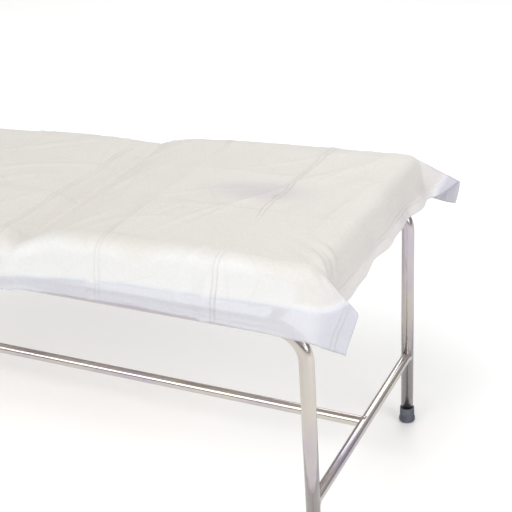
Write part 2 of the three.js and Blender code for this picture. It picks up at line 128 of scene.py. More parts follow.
class CouchSheetSettings(bpy.types.PropertyGroup):
    """Cut, drape and creases of the throw-away sheet."""

    length: size("Sheet length", "Length of the sheet as it was cut", 1.998, 1.5, 2.4)
    width: size("Sheet width", "Width of the sheet as it was cut", 0.828, 0.6, 1.2)
    skew: FloatProperty(
        name="Skew", description="How far the sheet was laid out of line with the couch",
        default=math.radians(1.3), min=-0.1, max=0.1, subtype="ANGLE", unit="ROTATION",
    )
    edge_round: size("Edge round", "Radius of the sheet where it turns down over an edge", 0.036, 0.02, 0.06)
    fold_pitch: size("Fold pitch", "Distance between the packing creases along the couch", 0.256, 0.1, 0.4)
    fold_height: size("Fold height", "How high a packing crease stands", 0.0050, 0.0, 0.01)
    wrinkle_height: size("Wrinkle height", "Height of the loose wrinkles", 0.0036, 0.0, 0.01)
    thickness: size("Sheet thickness", "Thickness of the non-woven cloth", 0.0004, 0.0001, 0.002)
    cells_long: IntProperty(
        name="Cells along", description="Number of mesh cells along the sheet",
        default=292, min=60, max=400,
    )
    cells_wide: IntProperty(
        name="Cells across", description="Number of mesh cells across the sheet",
        default=150, min=30, max=200,
    )
    colour: tint("Sheet colour", "Colour of the cloth where it lies on the upholstery", (0.815, 0.79, 0.755))
    loose_colour: tint("Loose colour", "Colour of the cloth where it stands off", (0.835, 0.84, 0.83))
    # Painted highlight where the hem begins, and painted shade, darker and bluish, in the free hem.
    gleam_colour: tint("Edge gleam", "Colour of the cloth where the hem begins", (0.80, 0.83, 0.89))
    hem_shade_colour: tint("Hem colour", "Colour of the cloth in the free hem", (0.69, 0.70, 0.745))
    cover: FloatProperty(
        name="Opacity", description="Opacity of one face of the cloth, which a look passes through twice",
        default=0.54, min=0.05, max=1.0, subtype="FACTOR",
    )


class CouchStageSettings(bpy.types.PropertyGroup):
    """Camera, light and floor."""

    lens: FloatProperty(
        name="Lens", description="Focal length in millimetres", default=78.36, min=20.0, max=200.0,
    )
    key_strength: FloatProperty(
        name="Key light", description="Strength of the wide distant light", default=2.1, min=0.0,
    )
    fill_power: FloatProperty(
        name="Fill light", description="Power of each of the two fill boxes",
        default=30.0, min=0.0, unit="POWER",
    )
    world_strength: FloatProperty(
        name="Room light", description="Strength of the room's own light", default=0.66, min=0.0,
    )
    floor_colour: tint("Floor", "Colour of the floor", (0.95, 0.95, 0.95))


# ---- mesh helpers -----------------------------------------------------------------------------------


def unit(v):
    """Each vector of an array divided by its own length."""
    return v / np.maximum(np.linalg.norm(v, axis=-1, keepdims=True), 1e-12)


def smooth(t):
    """Three t squared minus two t cubed, with t held between 0 and 1."""
    t = np.clip(t, 0.0, 1.0)
    return t * t * (3 - 2 * t)


def grid_faces(rows, columns, wrap):
    """Quads between neighbouring rows of points; wrap joins the last column to the first."""
    r, c = np.meshgrid(np.arange(rows - 1), np.arange(columns if wrap else columns - 1), indexing="ij")
    n = (c + 1) % columns
    here, above = r * columns, (r + 1) * columns
    return np.stack([here + c, here + n, above + n, above + c], -1).reshape(-1, 4).tolist()


def mesh_object(name, points, faces, uv=None):
    """Makes one smooth-shaded object out of an array of points and a list of faces."""
    mesh = bpy.data.meshes.new(name)
    mesh.from_pydata(points.reshape(-1, 3), [], faces)
    mesh.update()
    if uv is not None:
        loops = np.zeros(len(mesh.loops), np.int32)
        mesh.loops.foreach_get("vertex_index", loops)
        layer = mesh.uv_layers.new(name="UVMap")
        layer.data.foreach_set("uv", uv.reshape(-1, 2)[loops].astype(np.float32).ravel())
    mesh.shade_smooth()
    obj = bpy.data.objects.new(name, mesh)
    bpy.context.scene.collection.objects.link(obj)
    return obj


def closed_piece(name, points, faces, body):
    """Makes one object of a closed form: its doubles are merged and all its faces turned outwards."""
    obj = mesh_object(name, points, faces)
    work = bmesh.new()
    work.from_mesh(obj.data)
    bmesh.ops.remove_doubles(work, verts=work.verts, dist=1e-6)
    bmesh.ops.recalc_face_normals(work, faces=work.faces)
    work.to_mesh(obj.data)
    work.free()
    obj.data.shade_smooth()
    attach(obj, body)
    return obj


def swept(name, path, radius, body, sides=40):
    """A round form along a path: at each path point a circle lies square to the path, its radius taken from
    the radius array. The circles' first direction is carried along the path without twist. Each end closes
    on a point."""
    path = np.asarray(path, float)
    radius = np.broadcast_to(np.asarray(radius, float), len(path)).copy()
    tangent = unit(np.gradient(path, axis=0))
    side = np.cross(tangent[0], [0.0, 0.0, 1.0])
    if np.linalg.norm(side) < 0.1:
        side = np.cross(tangent[0], [0.0, 1.0, 0.0])
    sides_along = [side / np.linalg.norm(side)]
    for direction in tangent[1:]:
        carried = sides_along[-1] - direction * np.dot(sides_along[-1], direction)
        sides_along.append(carried / np.linalg.norm(carried))
    first = np.array(sides_along)
    second = np.cross(tangent, first)
    turn = np.linspace(0, 2 * math.pi, sides, endpoint=False)
    ring = first[:, None] * np.cos(turn)[None, :, None] + second[:, None] * np.sin(turn)[None, :, None]
    points = path[:, None] + ring * radius[:, None, None]
    count = len(path) * sides
    faces = grid_faces(len(path), sides, True)
    ends = np.stack([path[0], path[-1]])
    start_fan = [[count, (k + 1) % sides, k] for k in range(sides)]
    last = (len(path) - 1) * sides
    end_fan = [[count + 1, last + k, last + (k + 1) % sides] for k in range(sides)]
    points = np.vstack([points.reshape(-1, 3), ends])
    return closed_piece(name, points, faces + start_fan + end_fan, body)


def revolved(name, profile, centre, body, sides=56):
    """A turned form: the profile's radius and height pairs go once round the vertical line through
    centre."""
    profile = np.asarray(profile, float)
    turn = np.linspace(0, 2 * math.pi, sides, endpoint=False)
    r, z = profile[:, 0][:, None], profile[:, 1][:, None]
    points = np.stack([r * np.cos(turn), r * np.sin(turn), z + 0 * turn], -1) + np.asarray(centre, float)
    return closed_piece(name, points, grid_faces(len(profile), sides, True), body)


def arc(centre, start, end, steps):
    """Points on the quarter turn that leads from centre plus start to centre plus end."""
    angle = np.linspace(0, math.pi / 2, steps)[:, None]
    return np.asarray(centre) + np.cos(angle) * np.asarray(start) + np.sin(angle) * np.asarray(end)


def rounded_path(corners, radius, steps=14):
    """Straight runs between square corners, each corner replaced by a quarter turn of one radius."""
    corners = [np.asarray(c, float) for c in corners]
    parts = [corners[0][None]]
    for before, corner, after in zip(corners, corners[1:], corners[2:]):
        back = (before - corner) / np.linalg.norm(before - corner)
        on = (after - corner) / np.linalg.norm(after - corner)
        centre = corner + (back + on) * radius
        parts.append(arc(centre, -on * radius, -back * radius, steps))
    parts.append(corners[-1][None])
    return np.vstack(parts)


# ---- materials --------------------------------------------------------------------------------------


def new_material(name, colour, roughness, metallic=0.0):
    """A material and its shader, which holds plain values until textures are wired into it."""
    material = bpy.data.materials.new(name)
    material.use_nodes = True
    shader = material.node_tree.nodes["Principled BSDF"]
    shader.inputs["Base Color"].default_value = (*colour, 1.0)
    shader.inputs["Roughness"].default_value = roughness
    shader.inputs["Metallic"].default_value = metallic
    return material, shader


def node(material, kind, **values):
    """Adds one node; names that are sockets set those sockets, and the rest set properties."""
    made = material.node_tree.nodes.new(kind)
    for key, value in values.items():
        if key in made.inputs:
            made.inputs[key].default_value = value
        else:
            setattr(made, key, value)
    return made


def wire(material, source, out, target, into):
    """Joins an output to an input, each by name or number."""
    material.node_tree.links.new(source.outputs[out], target.inputs[into])


def texture(material, where, kind, **values):
    """Adds a Noise or Voronoi texture that reads the given coordinates."""
    made = node(material, "ShaderNodeTex" + kind, **values)
    wire(material, where, 0, made, "Vector")
    return made


def coordinates(material, kind="Object", scale=(1, 1, 1), turn=0.0):
    """Object or UV coordinates through a Mapping node."""
    source = node(material, "ShaderNodeTexCoord")
    mapping = node(material, "ShaderNodeMapping")
    mapping.inputs["Scale"].default_value = scale
    mapping.inputs["Rotation"].default_value = (0, 0, turn)
    wire(material, source, kind, mapping, "Vector")
    return mapping


def ramp(material, source, out, stops):
    """Colour ramp fed by a value: stops are position and grey or colour."""
    made = node(material, "ShaderNodeValToRGB")
    elements = made.color_ramp.elements
    for k, (position, colour) in enumerate(stops):
        element = elements[k] if k < 2 else elements.new(position)
        element.position = position
        element.color = (*(colour if hasattr(colour, "__len__") else (colour,) * 3), 1.0)
    wire(material, source, out, made, "Fac")
    return made


def ramped(material, shader, into, source, out, stops):
    """Feeds one socket of the shader from a colour ramp."""
    wire(material, ramp(material, source, out, stops), "Color", shader, into)


def bump(material, shader, height, out, strength, distance, under=None):
    """Bump from a height output, stacked on an earlier bump node when one is given."""
    made = node(material, "ShaderNodeBump", Strength=strength, Distance=distance)
    wire(material, height, out, made, "Height")
    if under is not None:
        wire(material, under, "Normal", made, "Normal")
    wire(material, made, "Normal", shader, "Normal")
    return made


def chrome_material(colour):
    """Bright plating: faint tarnish clouds, wiping marks and a very shallow orange-peel."""
    material, shader = new_material("chrome_plate", colour, 0.12, 1.0)
    where = coordinates(material)
    clouds = texture(material, where, "Noise", Scale=4.0, Detail=4.0, Roughness=0.6)
    violet = (colour[0] * 0.84, colour[1] * 0.82, colour[2] * 1.02)
    ramped(material, shader, "Base Color", clouds, "Fac", [(0.38, violet), (0.60, colour)])
    rubbed = texture(material, where, "Noise", Scale=60.0, Detail=6.0, Roughness=0.7)
    ramped(material, shader, "Roughness", rubbed, "Fac", [(0.35, 0.14), (0.75, 0.28)])
    peel = texture(material, where, "Noise", Scale=240.0, Detail=2.0)
    bump(material, shader, peel, "Fac", 0.05, 0.0004)
    return material


def zinc_material():
    """Zinc plate: spangled grey with fine drawn lines."""
    material, shader = new_material("zinc_plate", (0.52, 0.53, 0.55), 0.4, 1.0)
    where = coordinates(material)
    spangle = texture(material, where, "Voronoi", Scale=260.0)
    greys = [(0.0, (0.60, 0.61, 0.62)), (0.7, (0.44, 0.45, 0.47))]
    ramped(material, shader, "Base Color", spangle, "Distance", greys)
    lines = coordinates(material, scale=(40, 700, 700))
    drawn = texture(material, lines, "Noise", Scale=1.0, Detail=3.0)
    ramped(material, shader, "Roughness", drawn, "Fac", [(0.3, 0.3), (0.8, 0.52)])
    bump(material, shader, drawn, "Fac", 0.15, 0.0002)
    return material


def enamel_material(colour):
    """Stove enamel: soft waviness and small chips of grey primer."""
    material, shader = new_material("cream_enamel", colour, 0.35)
    shader.inputs["Coat Weight"].default_value = 0.3
    where = coordinates(material)
    chips = texture(material, where, "Noise", Scale=170.0, Detail=5.0)
    ramped(material, shader, "Base Color", chips, "Fac", [(0.30, (0.30, 0.29, 0.28)), (0.335, colour)])
    wave = texture(material, where, "Noise", Scale=400.0, Detail=1.0)
    bump(material, shader, wave, "Fac", 0.08, 0.0004)
    return material


def rubber_material(colour):
    """Moulded rubber: pale scuffs and dust on a matt grey, with a fine grain."""
    material, shader = new_material("moulded_rubber", colour, 0.7)
    where = coordinates(material)
    dust = texture(material, where, "Noise", Scale=55.0, Detail=6.0, Roughness=0.65)
    dusty = [c * 1.9 + 0.03 for c in colour]
    ramped(material, shader, "Base Color", dust, "Fac", [(0.45, colour), (0.78, dusty)])
    ramped(material, shader, "Roughness", dust, "Fac", [(0.3, 0.55), (0.7, 0.85)])
    grain = texture(material, where, "Noise", Scale=1400.0, Detail=2.0)
    bump(material, shader, grain, "Fac", 0.3, 0.0002)
    return material


def plywood_material():
    """Rotary-cut plywood: long wavy grain with darker streaks."""
    material, shader = new_material("plywood", (0.58, 0.41, 0.24), 0.65)
    where = coordinates(material, scale=(2.2, 26, 26))
    figure = texture(material, where, "Noise", Scale=1.6, Detail=8.0, Roughness=0.6, Distortion=0.8)
    woods = [(0.3, (0.62, 0.55, 0.46)), (0.5, (0.75, 0.69, 0.60)), (0.75, (0.83, 0.79, 0.71))]
    ramped(material, shader, "Base Color", figure, "Fac", woods)
    bump(material, shader, figure, "Fac", 0.25, 0.0005)
    return material


def foam_material():
    """Open-cell foam: pale yellow with small pores."""
    material, shader = new_material("open_foam", (0.80, 0.72, 0.45), 0.95)
    where = coordinates(material)
    pores = texture(material, where, "Voronoi", Scale=520.0)
    yellows = [(0.1, (0.62, 0.54, 0.30)), (0.6, (0.84, 0.77, 0.52))]
    ramped(material, shader, "Base Color", pores, "Distance", yellows)
    bump(material, shader, pores, "Distance", 0.6, 0.001)
    return material


def vinyl_material(colour, grain):
    """Upholstery vinyl: an embossed grain of small cells, soft gloss, and a slight yellowing in clouds."""
    material, shader = new_material("ivory_vinyl", colour, 0.42)
    shader.inputs["Coat Weight"].default_value = 0.08
    where = coordinates(material)
    clouds = texture(material, where, "Noise", Scale=5.0, Detail=3.0)
    yellowed = (colour[0] * 0.97, colour[1] * 0.95, colour[2] * 0.91)
    ramped(material, shader, "Base Color", clouds, "Fac", [(0.35, yellowed), (0.65, colour)])
    cells = texture(material, where, "Voronoi", Scale=1.0 / grain, feature="DISTANCE_TO_EDGE")
    valleys = ramp(material, cells, "Distance", [(0.0, 0.0), (0.16, 1.0)])
    ramped(material, shader, "Roughness", clouds, "Fac", [(0.3, 0.36), (0.7, 0.5)])
    first = bump(material, shader, valleys, "Color", 0.35, 0.0003)
    soft = texture(material, where, "Noise", Scale=28.0, Detail=3.0)
    bump(material, shader, soft, "Fac", 0.12, 0.004, first)
    return material


def maths(material, operation, *inputs):
    """A Math node; each input is a number, or a node and the name of its output."""
    made = node(material, "ShaderNodeMath", operation=operation)
    for k, value in enumerate(inputs):
        if isinstance(value, tuple):
            wire(material, value[0], value[1], made, k)
        else:
            made.inputs[k].default_value = value
    return made


def eased(material, source, out, reach, at_zero, at_reach):
    """A smooth step of a value: at_zero where the value is 0, and at_reach from reach on."""
    made = node(material, "ShaderNodeMapRange", interpolation_type="SMOOTHSTEP")
    made.inputs["From Max"].default_value = reach
    made.inputs["To Min"].default_value = at_zero
    made.inputs["To Max"].default_value = at_reach
    wire(material, source, out, made, "Value")
    return made


def near_line(material, value, first, pitch, apart, wide):
    """1 on the lines of an even row, 0 a width away: the distance to the nearest line is a triangle wave of
    the place, the two lips of a crease stand half of apart from its middle, and the fall is a smooth
    step."""
    moved = maths(material, "SUBTRACT", value, first)
    away = maths(material, "PINGPONG", (moved, "Value"), pitch / 2)
    off_lip = maths(material, "SUBTRACT", (away, "Value"), apart / 2)
    lip = maths(material, "ABSOLUTE", (off_lip, "Value"))
    return eased(material, lip, "Value", wide, 1.0, 0.0)


def multiplied(material, colour, factor, tint):
    """A colour output multiplied by a tint as far as the factor output says."""
    made = node(material, "ShaderNodeMix", data_type="RGBA", blend_type="MULTIPLY")
    made.inputs[7].default_value = (*tint, 1.0)
    wire(material, *factor, made, 0)
    wire(material, *colour, made, 6)
    return made


def crease_marks(material, flat, fold_pitch):
    """Where the cloth is marked, from 0 to 1: packing creases are pairs of fine lips in an even row along
    the cut sheet and single lines across it, and crumples are the borders of large uneven cells. A slow
    noise bends the lines and lets them fade in places. The sheet raises the marks as bump and darkens
    its colour along them as painted shade."""
    first_cross, lips_apart, lip_width = 0.732, 0.009, 0.0024
    first_long, long_pitch, long_width, long_strength = -0.095, 0.18, 0.0022, 0.6
    crumple_width, crumple_strength = 0.045, 0.2
    place = node(material, "ShaderNodeSeparateXYZ")
    wire(material, flat, 0, place, 0)
    drift = texture(material, flat, "Noise", Scale=5.0, Detail=2.0)
    fade = ramp(material, drift, "Fac", [(0.38, 0.12), (0.60, 1.0)])
    along = maths(material, "MULTIPLY_ADD", (drift, "Fac"), 0.03, (place, "X"))
    over = maths(material, "MULTIPLY_ADD", (drift, "Fac"), -0.02, (place, "Y"))
    cross_line = near_line(material, (along, "Value"), first_cross, fold_pitch, lips_apart, lip_width)
    long_line = near_line(material, (over, "Value"), first_long, long_pitch, 0.0, long_width)
    faint = maths(material, "MULTIPLY", (long_line, "Result"), long_strength)
    warped = texture(material, flat, "Noise", Scale=3.0, Detail=1.0)
    bent = node(material, "ShaderNodeVectorMath", operation="MULTIPLY_ADD")
    bent.inputs[1].default_value = (0.12, 0.12, 0.0)
    wire(material, warped, "Color", bent, 0)
    wire(material, flat, 0, bent, 2)
    cells = texture(material, bent, "Voronoi", Scale=11.0, feature="DISTANCE_TO_EDGE")
    crumple = eased(material, cells, "Distance", crumple_width, crumple_strength, 0.0)
    rows = maths(material, "MAXIMUM", (cross_line, "Result"), (faint, "Value"))
    every = maths(material, "MAXIMUM", (rows, "Value"), (crumple, "Result"))
    return maths(material, "MULTIPLY", (every, "Value"), (fade, "Color"))


def sheet_material(settings):
    """Spun-bonded cloth. Its colour follows the tone attribute: warm where it lies on the vinyl, white
    where it stands off, a painted highlight where the hem begins, and painted shade, darker and bluish,
    in the free hem. Fibre clouds make it more and less see-through. Marks stand up a little and darken it
    with painted shade, it is greyer with painted shade where the hollow attribute says that nothing pale
    backs it, and tiny bonded points lie in rows. Patterns follow the cut sheet through its UV map, which is
    in metres."""
    colour, loose = tuple(settings.colour), tuple(settings.loose_colour)
    gleam, hem = tuple(settings.gleam_colour), tuple(settings.hem_shade_colour)
    cover = settings.cover
    material, shader = new_material("non_woven_cloth", colour, 0.62)
    shader.inputs["Sheen Weight"].default_value = 0.12
    shader.inputs["Sheen Roughness"].default_value = 0.5
    flat = coordinates(material, "UV")
    tone = node(material, "ShaderNodeAttribute", attribute_name="tone")
    hollow = node(material, "ShaderNodeAttribute", attribute_name="hollow")
    # Painted highlight at 0.82, where the hem begins, and painted shade, darker and bluish, at 1 in the free
    # hem.
    shades = [(0.0, colour), (0.6, loose), (0.68, loose), (0.82, gleam), (1.0, hem)]
    base = ramp(material, tone, "Fac", shades)
    clouds = texture(material, flat, "Noise", Scale=150.0, Detail=5.0, Roughness=0.65)
    thin = node(material, "ShaderNodeMapRange")
    thin.inputs["From Min"].default_value = 0.3
    thin.inputs["From Max"].default_value = 0.7
    wire(material, clouds, "Fac", thin, "Value")
    covers = [(0.0, cover), (0.5, cover + 0.16), (0.75, cover + 0.10), (1.0, cover + 0.02)]
    depth = ramp(material, tone, "Fac", covers)
    density = maths(material, "MULTIPLY_ADD", (thin, "Result"), 0.08, (depth, "Color"))
    backed = maths(material, "MULTIPLY_ADD", (hollow, "Fac"), 0.22, (density, "Value"))
    wire(material, backed, "Value", shader, "Alpha")

    marks = crease_marks(material, flat, settings.fold_pitch)
    fibres = multiplied(material, (base, "Color"), (thin, "Result"), (0.955, 0.955, 0.965))
    # Painted shade: the colour darkens along the crease and crumple marks.
    crease_shade = multiplied(material, (fibres, 2), (marks, "Value"), (0.89, 0.87, 0.85))
    # Painted shade: greyer where the hollow attribute says that nothing pale backs the cloth.
    hollow_shade = multiplied(material, (crease_shade, 2), (hollow, "Fac"), (0.79, 0.775, 0.81))
    wire(material, hollow_shade, 2, shader, "Base Color")

    turned = coordinates(material, "UV", turn=math.radians(45))
    points = texture(material, turned, "Voronoi", Scale=620.0, Randomness=0.12)
    pits = ramp(material, points, "Distance", [(0.18, 0.0), (0.42, 1.0)])
    first = bump(material, shader, pits, "Color", 0.2, 0.0003)
    fuzz = texture(material, flat, "Noise", Scale=420.0, Detail=4.0, Roughness=0.7)
    second = bump(material, shader, fuzz, "Fac", 0.1, 0.0004, first)
    bump(material, shader, marks, "Value", 0.5, 0.0018, second)
    return material


def paint(obj, material):
    """Gives the whole object one material."""
    obj.data.materials.clear()
    obj.data.materials.append(material)


# ---- shape of the lying surface ---------------------------------------------------------------------

# Height of the sheet along the couch: sagging body section, dip at the crease, head section rising outwards.
ALONG = np.array([
    -0.925, -0.80, -0.55, -0.25, -0.05, 0.08, 0.17, 0.215, 0.240, 0.256,
    0.272, 0.300, 0.340, 0.380, 0.450, 0.530, 0.650, 0.780, 0.880, 0.925,
])
HEIGHT = np.array([
    0.674, 0.673, 0.668, 0.667, 0.6745, 0.6810, 0.6800, 0.6755, 0.6670, 0.6590,
    0.6680, 0.6850, 0.6955, 0.7010, 0.7065, 0.7100, 0.7145, 0.7175, 0.7185, 0.7180,
])


def blurred(values, half, spread, **edges):
    """Averages each value of a row with its neighbours, as far as half on either side, under a bell
    curve."""
    bell = np.exp(-0.5 * (np.arange(-half, half + 1) / spread) ** 2)
    return np.convolve(np.pad(values, half, **edges), bell / bell.sum(), mode="valid")


FINE = np.linspace(-0.95, 0.95, 1901)
CURVE = blurred(np.interp(FINE, ALONG, HEIGHT), 24, 4.0, mode="edge")

# Where the flat of the couch ends and the sheet begins to turn down, and the middle of the crease.
EDGE_Y = 0.271
EDGE_X = 0.890
CREASE_X = 0.258


def lying_height(x, y):
    """Height of the sheet's underside over the flat of the couch. Along the couch it follows a smoothed
    line through the listed heights; across, it is a low parabola; the crease is lifted at its two ends,
    where the hinge plates are; and over the breathing hole it sinks in an oval hollow."""
    base = np.interp(x, FINE, CURVE)
    crown = 0.0035 * (0.6 - (y / 0.3) ** 2)
    crease = np.exp(-(((x - CREASE_X) / 0.030) ** 2))
    lifted = crease * 0.0075 * smooth((np.abs(y) - 0.235) / 0.05)
    hole = -0.0045 * np.exp(-((((x - 0.666) / 0.085) ** 2 + (y / 0.052) ** 2) ** 1.4))
    return base + crown * (1 - crease) + lifted + hole


def side_bulge(x):
    """How far the sheet is pushed out beside the hinge plates: a bell curve along the couch."""
    return 0.0245 * np.exp(-(((x - HINGE[0]) / 0.038) ** 2))


# Lean of the hanging cloth out of the vertical, in degrees, as it swings round a corner from the side (0) to
# the end (90). Each row holds the swings, the leans towards the end and the leans towards the side.
NEAR_LEANS = (
    [0, 20, 36, 56, 66, 76, 85, 90],
    [0, 13, 30, 54, 47, 34, 23, 17],
    [10, 12, 14, 18, 9, 3, 1, 0],
)
FAR_LEANS = (
    [0, 20, 41, 61, 70, 78, 85, 90],
    [0, 13, 30, 60, 48, 34, 23, 17],
    [10, 12, 17, 23, 13, 6, 2, 0],
)


def corner_leans(table, swing):
    """Leans towards the end and towards the side, in radians, at each swing: the table's lines, blurred."""
    at = np.linspace(0, 90, 181)
    degrees = np.degrees(swing)
    rows = (np.interp(at, table[0], leans) for leans in table[1:])
    lines = (blurred(row, 14, 5.0, mode="reflect", reflect_type="odd") for row in rows)
    return [np.radians(np.interp(degrees, at, line)) for line in lines]


def drape(u, v, round_radius):
    """Lays the flat sheet point (u, v) over the couch. Inside the edges it lies at the lying height. Past
    an edge the cloth follows a ray from the edge: it starts level, turns down on an arc of the edge radius,
    and then runs straight at its own lean. Past both edges, at a corner, the ray's last direction swings
    out in the plane of the side and folds back behind it, so that the spare cloth stands out past the end
    as a wing."""
    edge_y = EDGE_Y + side_bulge(u)
    xc = np.clip(u, -EDGE_X, EDGE_X)
    yc = np.clip(v, -edge_y, edge_y)
    du = np.abs(u - xc)
    dv = np.abs(v - yc)
    sx, sy = np.sign(u), np.sign(v)
    far = np.hypot(du, dv)
    swing = np.arctan2(du, dv)
    level = np.stack([sx * np.sin(swing), sy * np.cos(swing), np.zeros_like(swing)], -1)
    lean_x, lean_y = np.where(v < 0, corner_leans(NEAR_LEANS, swing), corner_leans(FAR_LEANS, swing))
    lean = np.hypot(lean_x, lean_y)
    share = np.sinc(lean / math.pi)
    last = np.stack([sx * lean_x * share, sy * lean_y * share, -np.cos(lean)], -1)
    # Turn from the level direction to the last one, at an even rate, over the length of the arc.
    between = np.arccos(np.clip((level * last).sum(-1), -1, 1))
    arc_length = np.maximum(round_radius * between, 1e-9)
    along = unit(last - level * (level * last).sum(-1, keepdims=True))
    part = np.minimum(far / arc_length, 1.0) * between
    bent = round_radius * (np.sin(part)[..., None] * level + (1 - np.cos(part))[..., None] * along)
    straight = np.maximum(far - arc_length, 0.0)[..., None] * last
    return np.stack([xc, yc, lying_height(xc, yc)], -1) + bent + straight


def top_limit(x, y, round_radius):
    """Highest a pad may reach below the sheet: the lying height less the drop of the rounded edge, which is
    held just short of a quarter turn."""
    reach = round_radius * 0.97
    over_y = np.clip(np.abs(y) - EDGE_Y - side_bulge(x), 0, reach)
    over_x = np.clip(np.abs(x) - EDGE_X, 0, reach)
    over = np.minimum(np.hypot(over_x, over_y), reach)
    return lying_height(x, y) - (round_radius - np.sqrt(round_radius**2 - over**2))


# ---- operators --------------------------------------------------------------------------------------


class COUCH_OT_finishes(bpy.types.Operator):
    """Gives every CAD node that stays in sight its own worked material"""

    bl_idname = "couch.finishes"
    bl_label = "Finishes of the frame parts"

    def execute(self, context):
        settings, pad = context.scene.couch_frame, context.scene.couch_pad
        made = {
            "chrome": chrome_material(tuple(settings.chrome_colour)),
            "zinc": zinc_material(),
            "enamel": enamel_material(tuple(settings.enamel_colour)),
            "rubber": rubber_material(tuple(settings.rubber_colour)),
            "plywood": plywood_material(),
            "foam": foam_material(),
            "vinyl": vinyl_material(tuple(pad.vinyl_colour), pad.grain),
            "non_woven": sheet_material(context.scene.couch_sheet),
        }
        for part in frame["record"]["subparts"]:
            paint(frame["nodes"][part["node"]], made[part["material_slot"]])
        return {"FINISHED"}


class COUCH_OT_tubes(bpy.types.Operator):
    """Sweeps the chrome tubes, with a small brazed fillet where one meets another"""

    bl_idname = "couch.tubes"
    bl_label = "Chrome tubes"

    def bar(self, node_name, axis, body, bead):
        """A straight bar between its two ends: its radius grows towards each end as a decaying exponential
        of the distance from the surface of the tube it meets, which makes the fillet."""
        fillet_end, fillet_decay, hidden = 0.012, 0.0028, 0.006
        low, high = (np.array(c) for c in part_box(node_name))
        middle = (low + high) / 2
        radius = (high[2] - low[2]) / 2
        reach = (high[axis] - low[axis]) / 2
        step = np.concatenate([np.linspace(0, fillet_end, 14), np.linspace(0.016, reach, 8)])
        near = radius + bead * np.exp(-step / fillet_decay)
        line = np.concatenate([[-reach - hidden], -reach + step, (reach - step)[::-1][1:], [reach + hidden]])
        size = np.concatenate([[near[0]], near, near[::-1][1:], [near[0]]])
        path = np.repeat(middle[None], len(line), 0)
        path[:, axis] += line
        bar = swept(f"tube_{node_name}", path, size, body, 36)
        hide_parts(node_name)
        return bar

    def execute(self, context):
        settings = context.scene.couch_frame
        chrome = bpy.data.materials["chrome_plate"]
        made = []
        for side, sign in (("near", -1), ("far", 1)):
            route = ((-LEG_X, LEG_FOOT), (-LEG_X, RAIL_Z), (LEG_X, RAIL_Z), (LEG_X, LEG_FOOT))
            corners = [(x, sign * LEG_Y, z) for x, z in route]
            path = rounded_path(corners, settings.bend_radius, 20)
            tube = swept(f"tube_side_{side}", path, TUBE_R, "frame", 48)
            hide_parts(f"side_frame_{side}")
            made.append(tube)
        rails = [f"top_rail_{at}" for at in ("head", "hinge", "middle", "foot")]
        bars = ["end_bar_head", "end_bar_foot"] + rails
        for name in bars:
            made.append(self.bar(name, 1, "frame", settings.bead))
        made.append(self.bar("stretcher", 0, "frame", settings.bead))
        for tube in made:
            paint(tube, chrome)
        return {"FINISHED"}


class COUCH_OT_prop(bpy.types.Operator):
    """Bends the round prop that holds the head section up"""

    bl_idname = "couch.prop"
    bl_label = "Prop"

    def execute(self, context):
        low, high = (np.array(c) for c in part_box("prop_frame"))
        radius, bend_radius, inner = 0.006, 0.012, 0.185
        pivot = np.array(frame["record"]["behaviour"]["joints"][1]["pos_m"], float)
        bar_x, bar_z = high[0] - radius, low[2] + radius
        half = high[1] - radius
        route = ((pivot[0], inner, pivot[2]), (pivot[0], half, pivot[2]), (bar_x, half, bar_z))
        corners = [(x, -y, z) for x, y, z in route] + list(route[::-1])
        rod = swept("rod_prop", rounded_path(corners, bend_radius, 10), radius, "prop", 28)
        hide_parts("prop_frame")
        paint(rod, bpy.data.materials["chrome_plate"])
        return {"FINISHED"}


class COUCH_OT_rubbers(bpy.types.Operator):
    """Turns the ribbed rubber tips under the legs"""

    bl_idname = "couch.rubbers"
    bl_label = "Rubber tips"

    def execute(self, context):
        rubber = bpy.data.materials["moulded_rubber"]
        # Depth and height of a groove's corners from its lower edge.
        groove = ((0, 0), (0.0004, 0.0012), (0.0004, 0.0024), (0, 0.0036))
        for end, sx in (("head", 1), ("foot", -1)):
            for side, sy in (("near", -1), ("far", 1)):
                name = f"rubber_tip_{end}_{side}"
                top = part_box(name)[1][2]
                r = (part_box(name)[1][0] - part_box(name)[0][0]) / 2
                profile = [(0, 0.0012), (0.008, 0.0012), (0.010, 0), (r - 0.004, 0), (r - 0.0015, 0.0008),
                           (r - 0.0004, 0.0022), (r, 0.005), (r - 0.0002, 0.009), (r - 0.0012, 0.0125),
                           (r - 0.0020, 0.0140)]
                for inset, height in ((0.0019, 0.0180), (0.0022, 0.0290)):
                    profile += [(r - inset - deep, height + up) for deep, up in groove]
                profile += [(r - 0.0024, top - 0.003), (r - 0.0028, top - 0.0012), (r - 0.0036, top),
                            (TUBE_R + 0.0006, top), (TUBE_R - 0.0004, top - 0.001),
                            (TUBE_R - 0.0004, LEG_FOOT), (0, LEG_FOOT)]
                tip = revolved(f"tip_{end}_{side}", profile, (sx * LEG_X, sy * LEG_Y, 0), "frame")
                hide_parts(name)
                paint(tip, rubber)
        return {"FINISHED"}


def points_of(obj):
    """The places of all points of an object's mesh, one row each."""
    places = np.zeros(len(obj.data.vertices) * 3, np.float32)
    obj.data.vertices.foreach_get("co", places)
    return places.reshape(-1, 3)


def move_points(obj, places):
    """Puts the points of an object's mesh at new places."""
    obj.data.vertices.foreach_set("co", places.astype(np.float32).ravel())
    obj.data.update()


